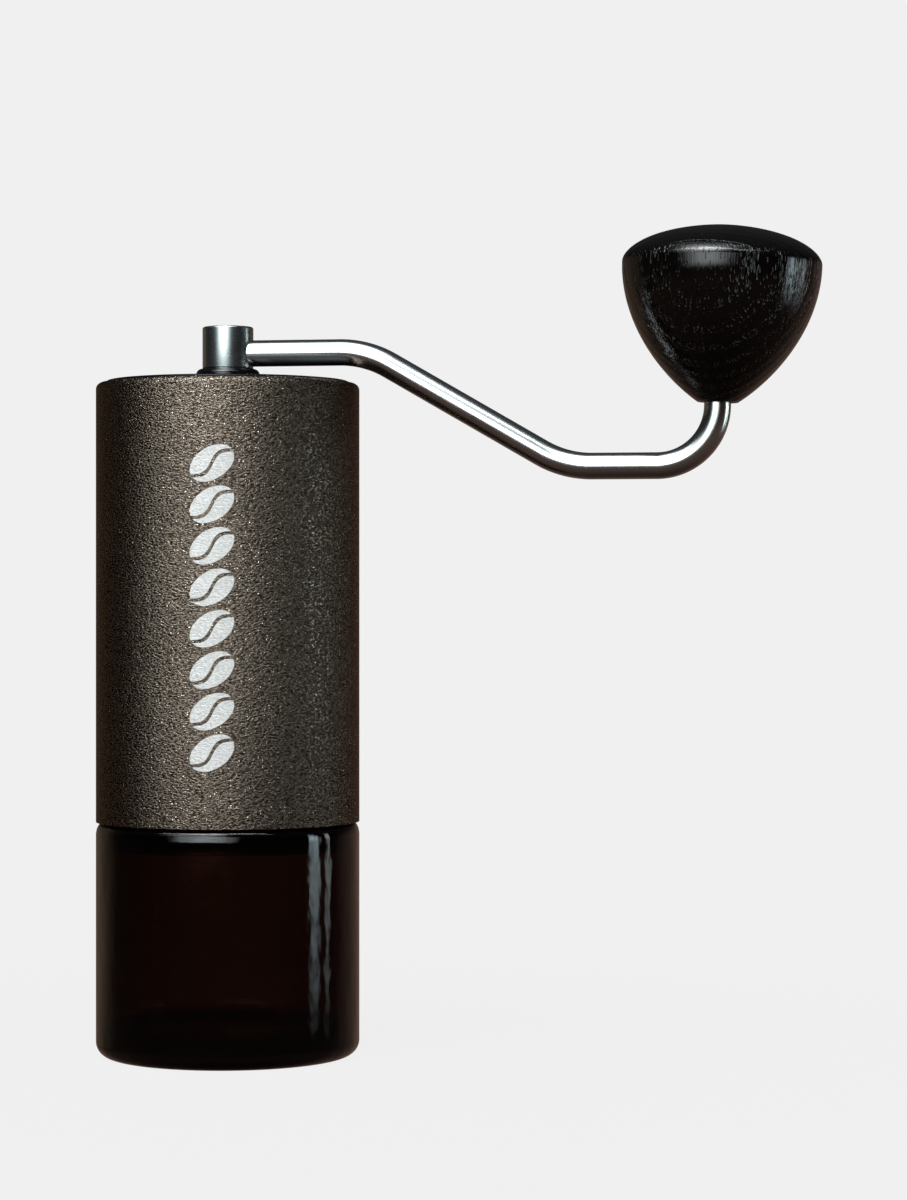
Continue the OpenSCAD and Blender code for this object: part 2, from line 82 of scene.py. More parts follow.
def make_camera():
    """Level view from CAMERA_HEIGHT, with the frame's +X to the right."""
    data = bpy.data.cameras.new("camera")
    data.lens = CAMERA_LENS
    data.sensor_width = 36
    camera = bpy.data.objects.new("camera", data)
    right = Vector((math.cos(CAMERA_AZIMUTH), math.sin(CAMERA_AZIMUTH), 0))
    back = toward_camera(0, 0)
    camera.location = right * CAMERA_SIDE + back * CAMERA_DISTANCE + Vector((0, 0, CAMERA_HEIGHT))
    camera.rotation_euler = back.to_track_quat("Z", "Y").to_euler()
    bpy.context.scene.collection.objects.link(camera)
    bpy.context.scene.camera = camera


def soft_face(data, fade_x, fade_y):
    """Gives a light a face whose brightness runs out to its sides over the shares fade_x and fade_y."""
    data.use_nodes = True
    tree = data.node_tree
    split = tree.nodes.new("ShaderNodeSeparateXYZ")
    tree.links.new(tree.nodes.new("ShaderNodeNewGeometry").outputs["Parametric"], split.inputs[0])
    total = None
    for axis, fade in ((0, fade_x), (1, fade_y)):
        for start in (0.0, 1.0):
            ramp = tree.nodes.new("ShaderNodeMapRange")
            ramp.interpolation_type = "SMOOTHSTEP"
            ramp.inputs[1].default_value = start
            ramp.inputs[2].default_value = abs(start - fade)
            tree.links.new(split.outputs[axis], ramp.inputs[0])
            if total is None:
                total = ramp.outputs[0]
                continue
            product = tree.nodes.new("ShaderNodeMath")
            product.operation = "MULTIPLY"
            tree.links.new(total, product.inputs[0])
            tree.links.new(ramp.outputs[0], product.inputs[1])
            total = product.outputs[0]
    tree.links.new(total, tree.nodes["Emission"].inputs["Strength"])


def softbox(name, azimuth, elevation, distance, width, height, radiance, color, fade, aim=(0, 0, 0.1)):
    """Rectangular studio light that faces the point aim. radiance is the brightness of its face's middle."""
    data = bpy.data.lights.new(name, "AREA")
    data.shape = "RECTANGLE"
    data.size = width
    data.size_y = height
    data.energy = radiance * math.pi * width * height
    data.color = color
    soft_face(data, *fade)
    light = bpy.data.objects.new(name, data)
    out = toward_camera(azimuth, elevation)
    light.location = Vector(aim) + out * distance
    light.rotation_euler = out.to_track_quat("Z", "Y").to_euler()
    light.visible_camera = False
    bpy.context.scene.collection.objects.link(light)


def make_lights():
    """Large boxes over and before the object, two strips at its right, a weak warm panel behind its left."""
    cool = (0.92, 0.98, 1.0)
    blue = (0.76, 0.95, 1.0)
    warm = (1.0, 0.78, 0.50)
    strip_aim = (0, 0, 0.14)
    softbox("overhead_softbox", -30, 60, 1.9, 2.40, 2.60, 2.6, cool, (0.45, 0.15))
    softbox("overhead_core", -22, 59, 1.88, 1.60, 1.45, 10.6, cool, (0.5, 0.4))
    softbox("front_softbox", -17, 15, 1.9, 2.60, 1.25, 4.6, cool, (0.5, 0.18))
    softbox("right_strip_near", 83, 0, 0.7, 0.18, 0.50, 6.3, blue, (0.4, 0.5), strip_aim)
    softbox("right_strip_far", 99, 0, 0.7, 0.10, 0.50, 3.8, cool, (0.4, 0.5), strip_aim)
    softbox("overhead_edge", -12, 62, 1.87, 3.8, 0.32, 12.0, cool, (0.5, 0.4))
    softbox("left_panel", -132, 2, 0.8, 0.90, 0.6, 0.11, warm, (0.5, 0.2))


def make_world():
    """Pale studio for the camera. Reflections see a dim, warm room whose far side is the lighter one."""
    world = bpy.data.worlds.new("studio")
    bpy.context.scene.world = world
    world.use_nodes = True
    tree = world.node_tree
    tree.nodes.clear()

    def add(kind, **inputs):
        node = tree.nodes.new(kind)
        for key, value in inputs.items():
            node.inputs[int(key[1:])].default_value = value
        return node

    def ramp(stops):
        node = add("ShaderNodeValToRGB")
        elements = node.color_ramp.elements
        while len(elements) < len(stops):
            elements.new(0.5)
        for element, (position, color) in zip(elements, stops):
            element.position = position
            element.color = (*color, 1)
        return node

    def blend(kind, factor, a, b):
        node = add("ShaderNodeMix")
        node.data_type = "RGBA"
        node.blend_type = kind
        for key, value in (("Factor", factor), ("A", a), ("B", b)):
            if isinstance(value, bpy.types.NodeSocket):
                tree.links.new(value, node.inputs[key])
            else:
                node.inputs[key].default_value = value
        return node.outputs["Result"]

    coords = add("ShaderNodeTexCoord")
    split = add("ShaderNodeSeparateXYZ")
    tree.links.new(coords.outputs["Generated"], split.inputs[0])
    side = add("ShaderNodeMapRange", _1=0.5, _2=1.0, _3=0.0, _4=1.0)
    tree.links.new(split.outputs["Y"], side.inputs[0])
    height = add("ShaderNodeMapRange", _1=-1.0, _2=1.0, _3=0.0, _4=1.0)
    tree.links.new(split.outputs["Z"], height.inputs[0])
    front = ramp([(0.0, (0.03, 0.022, 0.018)), (0.14, (0.07, 0.045, 0.037)), (0.36, (0.085, 0.054, 0.044)),
                  (0.45, (0.022, 0.017, 0.015)), (0.62, (0.010, 0.011, 0.012)), (0.97, (0.05, 0.055, 0.06))])
    rear = ramp([(0.36, (0.14, 0.088, 0.066)), (0.5, (0.20, 0.125, 0.095)), (0.62, (0.02, 0.014, 0.012))])
    tree.links.new(height.outputs[0], front.inputs[0])
    tree.links.new(height.outputs[0], rear.inputs[0])
    rear_light = blend("MIX", side.outputs[0], (0, 0, 0, 1), rear.outputs[0])
    room = blend("ADD", 1.0, front.outputs[0], rear_light)
    dim = add("ShaderNodeBackground")
    tree.links.new(room, dim.inputs[0])
    pale = add("ShaderNodeBackground", _0=(FLOOR_GREY, FLOOR_GREY, FLOOR_GREY, 1))
    path = add("ShaderNodeLightPath")
    choose = add("ShaderNodeMixShader")
    tree.links.new(path.outputs["Is Camera Ray"], choose.inputs[0])
    tree.links.new(dim.outputs[0], choose.inputs[1])
    tree.links.new(pale.outputs[0], choose.inputs[2])
    out = add("ShaderNodeOutputWorld")
    tree.links.new(choose.outputs[0], out.inputs[0])


# --- Material building --------------------------------------------------------------------------------

class Graph:
    """A material's node tree, with short calls for the nodes that the materials share."""

    def __init__(self, name, **settings):
        self.material = bpy.data.materials.new(name)
        self.material.use_nodes = True
        self.tree = self.material.node_tree
        self.shader = self.tree.nodes["Principled BSDF"]
        self.object = self.tree.nodes.new("ShaderNodeTexCoord").outputs["Object"]
        for socket, value in settings.items():
            self.put(self.shader.inputs[socket.replace("_", " ")], value)

    def put(self, socket, value):
        if isinstance(value, bpy.types.NodeSocket):
            self.tree.links.new(value, socket)
        elif socket.type == "RGBA" and len(value) == 3:
            socket.default_value = (*value, 1)
        else:
            socket.default_value = value

    def set(self, socket, value):
        self.put(self.shader.inputs[socket], value)

    def node(self, kind, output, settings=None, **inputs):
        node = self.tree.nodes.new(kind)
        for key, value in (settings or {}).items():
            setattr(node, key, value)
        for key, value in inputs.items():
            self.put(node.inputs[key.replace("_", " ")], value)
        return node.outputs[output]

    def math(self, operation, a, b=0.0):
        node = self.tree.nodes.new("ShaderNodeMath")
        node.operation = operation
        self.put(node.inputs[0], a)
        self.put(node.inputs[1], b)
        return node.outputs[0]

    def place(self, scale=(1, 1, 1), rotation=(0, 0, 0), vector=None):
        return self.node("ShaderNodeMapping", "Vector", Vector=vector or self.object, Scale=scale,
                         Rotation=rotation)

    def noise(self, scale, detail=2.0, roughness=0.5, vector=None, distortion=0.0):
        return self.node("ShaderNodeTexNoise", "Fac", Vector=vector or self.object, Scale=scale,
                         Detail=detail, Roughness=roughness, Distortion=distortion)

    def cells(self, scale, output="Distance", vector=None):
        return self.node("ShaderNodeTexVoronoi", output, Vector=vector or self.object, Scale=scale)

    def fit(self, value, low, high, to_low=0.0, to_high=1.0, smooth=False):
        node = self.tree.nodes.new("ShaderNodeMapRange")
        node.interpolation_type = "SMOOTHSTEP" if smooth else "LINEAR"
        for index, number in enumerate((value, low, high, to_low, to_high)):
            self.put(node.inputs[index], number)
        return node.outputs[0]

    def mix(self, factor, a, b):
        node = self.tree.nodes.new("ShaderNodeMix")
        node.data_type = "RGBA"
        self.put(node.inputs["Factor"], factor)
        self.put(node.inputs["A"], (*a, 1) if isinstance(a, tuple) else a)
        self.put(node.inputs["B"], (*b, 1) if isinstance(b, tuple) else b)
        return node.outputs["Result"]

    def bump(self, height, distance, normal=None):
        inputs = {"Height": height, "Distance": distance, "Strength": 1.0}
        if normal is not None:
            inputs["Normal"] = normal
        return self.node("ShaderNodeBump", "Normal", **inputs)


def coat_wrinkles(g):
    """Height of the baked coat's leathery wrinkles, which lie a little along the level."""
    return g.fit(g.noise(2100, 3.0, 0.55, g.place(scale=(0.75, 0.75, 1.4)), 0.1), 0.36, 0.64)


def powder_coat():
    """Dark bronze textured powder coat, painted darker in its wrinkles' valleys as painted shade and lighter on
    their ridges as painted highlight. Its metal flecks lie at random angles, so some catch a light.
    """
    g = Graph("powder_coat", Metallic=1.0, Specular_Tint=(0.60, 0.55, 0.50))
    wrinkles = coat_wrinkles(g)
    patches = g.noise(90, 3)
    # Painted shade and painted highlight: the colour runs from near black in the wrinkles' valleys to light bronze
    # on their ridges.
    base = g.mix(wrinkles, (0.018, 0.014, 0.011), (0.250, 0.203, 0.162))
    base = g.mix(g.fit(patches, 0.3, 0.7, 0.0, 0.2), base, (0.070, 0.058, 0.047))
    spot = g.cells(2300)
    chance = g.cells(2300, "Color")
    pick = g.node("ShaderNodeSeparateColor", "Red", Color=chance)
    fleck = g.math("MULTIPLY", g.fit(spot, 0.30, 0.18), g.fit(pick, 0.74, 0.82))
    g.set("Base Color", g.mix(fleck, base, (0.78, 0.69, 0.56)))
    g.set("Roughness", g.fit(wrinkles, 0.0, 1.0, 0.30, 0.24))
    tilt = g.node("ShaderNodeVectorMath", "Vector", {"operation": "SUBTRACT"})
    g.put(tilt.node.inputs[0], chance)
    g.put(tilt.node.inputs[1], (0.91, 0.5, 0.5))
    lean = g.node("ShaderNodeVectorMath", "Vector", {"operation": "SCALE"}, Vector=tilt,
                  Scale=g.math("MULTIPLY", fleck, 0.7))
    turned = g.node("ShaderNodeVectorMath", "Vector", {"operation": "ADD"})
    g.put(turned.node.inputs[0], g.bump(wrinkles, 0.10 * MM))
    g.put(turned.node.inputs[1], lean)
    g.set("Normal", g.node("ShaderNodeVectorMath", "Vector", {"operation": "NORMALIZE"}, Vector=turned))
    return g.material


def silver_print():
    """Pale silver screen print that follows the coat's relief. Its colour is painted darker in the relief's
    valleys as painted shade, and it is rougher on the ridges.
    """
    g = Graph("silver_print", Metallic=0.2, Specular_IOR_Level=0.4)
    relief_and_painted_shade = coat_wrinkles(g)
    streak = g.noise(700, 2, 0.5, g.place(scale=(0.25, 0.25, 3)))
    # Painted shade: the print is darker in the valleys of the coat's relief and lighter on its ridges.
    base = g.mix(relief_and_painted_shade, (0.55, 0.545, 0.53), (0.78, 0.775, 0.76))
    base = g.mix(g.fit(streak, 0.52, 0.75, 0.0, 0.4), base, (0.40, 0.40, 0.38))
    g.set("Base Color", base)
    g.set("Roughness", g.fit(relief_and_painted_shade, 0.0, 1.0, 0.40, 0.55))
    g.set("Normal", g.bump(relief_and_painted_shade, 0.05 * MM))
    return g.material


def steel(name, color, roughness, grain_scale=(1, 1, 1), grain=0.0):
    """Metal with fine scratches that run along the directions whose scale is small."""
    g = Graph(name, Metallic=1.0)
    lines = g.noise(9000, 3, 0.6, g.place(scale=grain_scale))
    cloud = g.noise(180, 3)
    dark = tuple(0.92 * c for c in color)
    g.set("Base Color", g.mix(g.fit(lines, 0.3, 0.7), dark, color))
    g.set("Roughness", g.math("ADD", g.fit(lines, 0.3, 0.7, roughness - 0.02, roughness + 0.02),
                              g.fit(cloud, 0.3, 0.7, -0.01, 0.015)))
    if grain:
        g.set("Normal", g.bump(lines, grain))
    return g.material


def polymer(name, color, roughness, grain, grain_depth, specular=0.4):
    """Moulded black plastic with the fine spark-eroded texture of its tool."""
    g = Graph(name, Specular_IOR_Level=specular)
    skin = g.noise(grain, 2, 0.5)
    flow = g.noise(120, 2)
    light = tuple(1.6 * c for c in color)
    g.set("Base Color", g.mix(g.fit(flow, 0.3, 0.7), color, light))
    g.set("Roughness", g.fit(skin, 0.3, 0.7, roughness - 0.04, roughness + 0.05))
    g.set("Normal", g.bump(skin, grain_depth))
    return g.material


def rubber():
    """Black rubber, matt and a little dusty."""
    g = Graph("seal_rubber", Specular_IOR_Level=0.4)
    dust = g.noise(900, 3)
    g.set("Base Color", g.mix(g.fit(dust, 0.4, 0.8), (0.012, 0.012, 0.012), (0.028, 0.027, 0.026)))
    g.set("Roughness", g.fit(dust, 0.3, 0.7, 0.62, 0.78))
    g.set("Normal", g.bump(dust, 0.01 * MM))
    return g.material


def brass():
    """Plain brass with patches of tarnish."""
    g = Graph("cage_brass", Metallic=1.0)
    tarnish = g.noise(400, 3)
    g.set("Base Color", g.mix(g.fit(tarnish, 0.35, 0.7), (0.62, 0.43, 0.17), (0.42, 0.28, 0.12)))
    g.set("Roughness", g.fit(tarnish, 0.3, 0.7, 0.28, 0.42))
    return g.material


def stained_wood(foot, axis):
    """Open-pore wood, stained black and oiled. Its grain runs along axis, round an off-centre pith."""
    ring_width = 2.5 * MM
    pith = toward_camera(161, 0) * 26 * MM
    lean = math.atan2(axis.x, axis.z)
    g = Graph("stained_wood", Specular_IOR_Level=0.45)
    shifted = g.node("ShaderNodeVectorMath", "Vector", {"operation": "SUBTRACT"})
    g.put(shifted.node.inputs[0], g.object)
    g.put(shifted.node.inputs[1], tuple(foot + pith))
    local = g.place(rotation=(0, -lean, 0), vector=shifted)
    sway = g.node("ShaderNodeTexNoise", "Color", Vector=local, Scale=60.0, Detail=2.0)
    swayed = g.node("ShaderNodeVectorMath", "Vector", {"operation": "MULTIPLY_ADD"})
    g.put(swayed.node.inputs[0], sway)
    g.put(swayed.node.inputs[1], (1.6 * MM, 1.6 * MM, 0.0))
    g.put(swayed.node.inputs[2], local)
    flat = g.place(scale=(1, 1, 0), vector=swayed)
    reach = g.node("ShaderNodeVectorMath", "Value", {"operation": "LENGTH"}, Vector=flat)
    phase = g.math("FRACT", g.math("DIVIDE", reach, ring_width))
    early = g.math("MULTIPLY", g.fit(phase, 0.02, 0.14, smooth=True), g.fit(phase, 0.62, 0.38, smooth=True))
    fibres = g.noise(1.0, 2, 0.6, g.place(scale=(2400, 2400, 70), vector=local))
    long_pores = g.cells(1.0, vector=g.place(scale=(1500, 1500, 200), vector=local))
    short_pores = g.cells(1.0, vector=g.place(scale=(2100, 2100, 300), vector=local))
    big = g.math("MULTIPLY", g.fit(long_pores, 0.44, 0.30), early)
    small = g.math("MULTIPLY", g.fit(short_pores, 0.26, 0.14), 0.5)
    height_up = g.node("ShaderNodeSeparateXYZ", "Z", Vector=local)
    open_grain = g.fit(height_up, 31.0 * MM, 33.0 * MM, 1.0, 0.25)
    pores = g.math("MULTIPLY", g.math("MAXIMUM", big, small), open_grain)
    base = g.mix(g.fit(fibres, 0.3, 0.7), (0.0010, 0.0008, 0.0007), (0.0022, 0.0016, 0.0013))
    base = g.mix(g.math("MULTIPLY", pores, 0.8), base, (0.0006, 0.0005, 0.0005))
    g.set("Base Color", base)
    rough = g.fit(fibres, 0.3, 0.7, 0.07, 0.12)
    g.set("Roughness", g.math("ADD", rough, g.math("MULTIPLY", pores, 0.25)))
    height = g.math("SUBTRACT", g.math("MULTIPLY", fibres, 0.4), pores)
    rings = g.bump(g.math("MULTIPLY", early, -1.0), 0.03 * MM)
    g.set("Normal", g.bump(height, 0.11 * MM, normal=rings))
    return g.material


def amber_glass():
    """Dark amber glass: clear surfaces round a strongly absorbing body."""
    g = Graph("amber_glass", Transmission_Weight=1.0, IOR=1.5, Roughness=0.01, Base_Color=(1, 1, 1))
    slow = g.bump(g.noise(55, 1.5, 0.4, g.place(scale=(1, 1, 0.5))), 0.30 * MM)
    g.set("Normal", g.bump(g.noise(230, 2, 0.5, g.place(scale=(1, 1, 0.5))), 0.14 * MM, normal=slow))
    body = g.tree.nodes.new("ShaderNodeVolumeAbsorption")
    body.inputs["Color"].default_value = (0.40, 0.24, 0.15, 1)
    body.inputs["Density"].default_value = 1050.0
    out = g.tree.nodes["Material Output"]
    g.tree.links.new(body.outputs[0], out.inputs["Volume"])
    return g.material


def floor_paint():
    """Pale grey floor, as light as the backdrop, that takes a faint shadow close to the object."""
    g = Graph("floor_paint")
    tree = g.tree
    tree.nodes.remove(g.shader)
    reach = g.node("ShaderNodeVectorMath", "Value", {"operation": "LENGTH"}, Vector=g.object)
    glow = tree.nodes.new("ShaderNodeEmission")
    glow.inputs[0].default_value = (FLOOR_GREY, FLOOR_GREY, FLOOR_GREY, 1)
    shaded = tree.nodes.new("ShaderNodeEmission")
    shaded.inputs[0].default_value = (FLOOR_GREY, FLOOR_GREY, FLOOR_GREY, 1)
    shaded.inputs[1].default_value = FLOOR_SHARE
    paint = tree.nodes.new("ShaderNodeBsdfDiffuse")
    paint.inputs[0].default_value = (0.012, 0.012, 0.012, 1)
    both = tree.nodes.new("ShaderNodeAddShader")
    tree.links.new(shaded.outputs[0], both.inputs[0])
    tree.links.new(paint.outputs[0], both.inputs[1])
    fade = tree.nodes.new("ShaderNodeMixShader")
    g.put(fade.inputs[0], g.fit(reach, 0.05, 0.30, smooth=True))
    tree.links.new(both.outputs[0], fade.inputs[1])
    tree.links.new(glow.outputs[0], fade.inputs[2])
    tree.links.new(fade.outputs[0], tree.nodes["Material Output"].inputs["Surface"])
    return g.material


# --- Mesh building ------------------------------------------------------------------------------------

def arc(centre, radius, start, end, steps=8):
    """Points round a centre from one angle to another, in degrees, both ends included."""
    angles = [math.radians(start + (end - start) * i / steps) for i in range(steps + 1)]
    return [(centre[0] + radius * math.cos(a), centre[1] + radius * math.sin(a)) for a in angles]


def bezier(p, steps, first=0):
    """Points on a cubic curve through four control points."""
    points = []
    for i in range(first, steps + 1):
        t = i / steps
        weights = ((1 - t) ** 3, 3 * (1 - t) ** 2 * t, 3 * (1 - t) * t * t, t ** 3)
        points.append(tuple(sum(w * q[k] for w, q in zip(weights, p)) for k in range(2)))
    return points


def make_object(name, bm, material, sharp=35):
    """Smooth-shaded object from a bmesh. Edges bent by more than sharp degrees stay crisp."""
    bmesh.ops.recalc_face_normals(bm, faces=bm.faces)
    mesh = bpy.data.meshes.new(name)
    bm.to_mesh(mesh)
    bm.free()
    mesh.shade_smooth()
    mesh.set_sharp_from_angle(angle=math.radians(sharp))
    mesh.materials.append(material)
    obj = bpy.data.objects.new(name, mesh)
    bpy.context.scene.collection.objects.link(obj)
    return obj


def add_lathe(bm, outline, sides=LATHE_SIDES, place=Matrix(), swell=None):
    """Adds a closed solid of revolution. outline is a loop of (radius, height); radius 0 is a pole.
    swell(radius, height, angle) gives an extra radius."""
    rings = []
    for r, z in outline:
        ring = []
        for k in range(sides if r > 1e-7 else 1):
            a = 2 * math.pi * k / sides
            wide = r + (swell(r, z, a) if swell else 0)
            ring.append(bm.verts.new(place @ Vector((wide * math.cos(a), wide * math.sin(a), z))))
        rings.append(ring)
    for low, high in zip(rings, rings[1:] + rings[:1]):
        if len(low) == len(high) == 1:
            continue
        for k in range(sides):
            j = (k + 1) % sides
            corners = [low[k % len(low)], low[j % len(low)], high[j % len(high)], high[k % len(high)]]
            bm.faces.new(list(dict.fromkeys(corners)))


def lathe(name, outline, material, sides=LATHE_SIDES, place=Matrix(), swell=None, sharp=35):
    """Object made of one solid of revolution."""
    bm = bmesh.new()
    add_lathe(bm, outline, sides, place, swell)
    return make_object(name, bm, material, sharp)


def add_skin(bm, rings):
    """Adds a closed solid through rings of points, capped at both ends."""
    rows = [[bm.verts.new(point) for point in ring] for ring in rings]
    count = len(rows[0])
    for low, high in zip(rows, rows[1:]):
        for k in range(count):
            j = (k + 1) % count
            bm.faces.new((low[k], low[j], high[j], high[k]))
    bm.faces.new(list(reversed(rows[0])))
    bm.faces.new(rows[-1])


# --- Pieces -------------------------------------------------------------------------------------------

SLEEVE_WALL = 1.2 * MM
SLEEVE_EDGE = 1.5 * MM
SLEEVE_LIP = 1.9 * MM       # from the outside to the inner edge of the rolled top


def make_sleeve():
    """Tube with a rolled top edge and a barely broken foot."""
    low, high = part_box("outer_sleeve")
    r, z0, z1 = high.x, low.z, high.z
    bore = r - SLEEVE_WALL
    foot = 0.12 * MM
    inner_edge = SLEEVE_EDGE - SLEEVE_WALL
    lip_r = r - SLEEVE_LIP
    nose = 0.25 * MM
    outline = (
        [(bore, z0)]
        + arc((r - foot, z0 + foot), foot, -90, 0, 5)
        + [(r, z0 + (z1 - z0) * t) for t in (0.25, 0.5, 0.75)]
        + arc((r - SLEEVE_EDGE, z1 - SLEEVE_EDGE), SLEEVE_EDGE, 0, 90, 14)
        + arc((lip_r + nose, z1 - nose), nose, 90, 180, 4)
        + [(lip_r, z1 - SLEEVE_WALL)]
        + arc((bore - inner_edge, z1 - SLEEVE_EDGE), inner_edge, 90, 0, 6)
    )
    sleeve = lathe("sleeve_shell", outline, powder_coat(), sides=256)
    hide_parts("outer_sleeve")
    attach(sleeve, "housing")


BEAN_COUNT = 8
BEAN_LONG = 5.4 * MM        # half the length of a bean
BEAN_WIDE = 3.5 * MM
BEAN_TILT = math.radians(32)
BEAN_PITCH = 9.1 * MM
BEAN_TIP = 0.985            # share of the half length at which a bean's pointed end is cut off
CREASE_GAP = 0.85 * MM
CREASE_SWING = 0.30 * BEAN_WIDE
PRINT_THICKNESS = 0.03 * MM
PRINT_HEIGHT = 0.488        # of the column's middle, as a share of the sleeve's height
PRINT_TURN = math.radians(3)
THINNEST_PRINT = 0.08 * MM


def bean_half(side, columns=40, rows=5):
    """Grid of points in one half of a bean, between its S-shaped crease and its edge."""
    grid = []
    for i in range(columns + 1):
        s = BEAN_TIP * (2 * i / columns - 1)
        edge = math.sqrt(1 - s * s) * BEAN_WIDE
        start = side * CREASE_SWING * math.sin(math.pi * s) + CREASE_GAP / 2
        width = edge - start
        if width > THINNEST_PRINT:
            grid.append([(s * BEAN_LONG, side * (start + width * k / rows)) for k in range(rows + 1)])
    return grid


def make_bean_marks():
    """A column of plain coffee beans, printed on the sleeve."""
    low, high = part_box("outer_sleeve")
    radius = high.x
    middle_z = low.z + PRINT_HEIGHT * (high.z - low.z)
    facing = CAMERA_AZIMUTH - math.pi / 2 - PRINT_TURN
    bm = bmesh.new()
    for bean in range(BEAN_COUNT):
        z = middle_z + (bean - (BEAN_COUNT - 1) / 2) * BEAN_PITCH
        for side in (1, -1):
            rings = []
            for column in bean_half(side):
                faces = []
                for depth, points in ((PRINT_THICKNESS, column), (-PRINT_THICKNESS, reversed(column))):
                    for s, t in points:
                        across = s * math.cos(BEAN_TILT) - t * math.sin(BEAN_TILT)
                        up = s * math.sin(BEAN_TILT) + t * math.cos(BEAN_TILT)
                        a = facing + across / radius
                        r = radius + depth
                        faces.append(Vector((r * math.cos(a), r * math.sin(a), z + up)))
                rings.append(faces)
            add_skin(bm, rings)
    marks = make_object("bean_marks", bm, silver_print(), 30)
    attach(marks, "housing")


GLASS_WALL = 2.8 * MM
GLASS_FLOOR = 5.0 * MM
JAR_PITCH = 4.0 * MM
THREAD_TURNS = 1.4
THREAD_DEPTH = 1.0 * MM
THREAD_HALF = 0.95 * MM
THREAD_FADE = 0.1           # turns over which the ridge rises and sinks
THREAD_START = 2.8 * MM     # above the shoulder
NECK_R = 25.7 * MM
NECK_BORE = 22.8 * MM
NECK_H = 10 * MM


def thread_swell(start_z):
    """Extra radius of the glass neck: one rounded ridge that winds up it and fades at both ends."""
    def swell(r, z, angle):
        if abs(r - NECK_R) > 0.01 * MM:
            return 0.0
        best = 0.0
        for turn in range(3):
            along = turn + angle / (2 * math.pi)
            if along > THREAD_TURNS:
                continue
            fade = min(1.0, along / THREAD_FADE, (THREAD_TURNS - along) / THREAD_FADE)
            off = abs(z - start_z - along * JAR_PITCH) / THREAD_HALF
            if off < 1:
                best = max(best, THREAD_DEPTH * fade * (1 - off * off) ** 0.8)
        return best
    return swell


def make_jar():
    """Jar with a recessed foot, a heavy floor, a rounded shoulder and a threaded neck."""
    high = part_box("jar")[1]
    r, neck_z1 = high.x, high.z
    jar_h = neck_z1 - NECK_H
    foot_edge, cavity_edge, floor_edge = 3.5 * MM, 3.0 * MM, 4.5 * MM
    shoulder_edge, shoulder_drop = 1.3 * MM, 2.8 * MM
    shoulder_h = 3.0 * MM
    recess_r = r - 7 * MM
    recess_h, recess_flat = 1.0 * MM, recess_r - 3 * MM
    lip, root, throat = 0.8 * MM, 0.5 * MM, 1.0 * MM
    inner = r - GLASS_WALL
    cavity_z1 = jar_h - shoulder_h
    neck_rows = 44
    neck_z0 = jar_h + root
    outline = (
        [(0, recess_h), (recess_flat, recess_h)]
        + arc((recess_flat, 0), recess_h, 90, 30, 4)
        + [(recess_r, 0)]
        + arc((r - foot_edge, foot_edge), foot_edge, -90, 0, 14)
        + [(r, foot_edge + (jar_h - shoulder_drop - foot_edge) * t) for t in (0.2, 0.4, 0.6, 0.8)]
        + [(r - shoulder_edge * (1 - x), jar_h - shoulder_drop * (1 - y))
           for x, y in arc((0, 0), 1, 0, 90, 16)]
        + arc((NECK_R + root, neck_z0), root, -90, -180, 4)[:-1]
        + [(NECK_R, neck_z0 + (neck_z1 - lip - neck_z0) * k / neck_rows) for k in range(neck_rows + 1)]
        + arc((NECK_R - lip, neck_z1 - lip), lip, 10, 90, 6)
        + arc((NECK_BORE + lip, neck_z1 - lip), lip, 90, 180, 6)
        + arc((NECK_BORE + throat, cavity_z1 + throat), throat, 180, 270, 5)
        + arc((inner - cavity_edge, cavity_z1 - cavity_edge), cavity_edge, 90, 0, 8)
        + arc((inner - floor_edge, GLASS_FLOOR + floor_edge), floor_edge, 0, -90, 12)
        + [(0, GLASS_FLOOR)]
    )
    jar = lathe("glass_jar", outline, amber_glass(), sides=256,
                swell=thread_swell(jar_h + THREAD_START), sharp=60)
    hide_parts("jar")
    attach(jar, "jar")


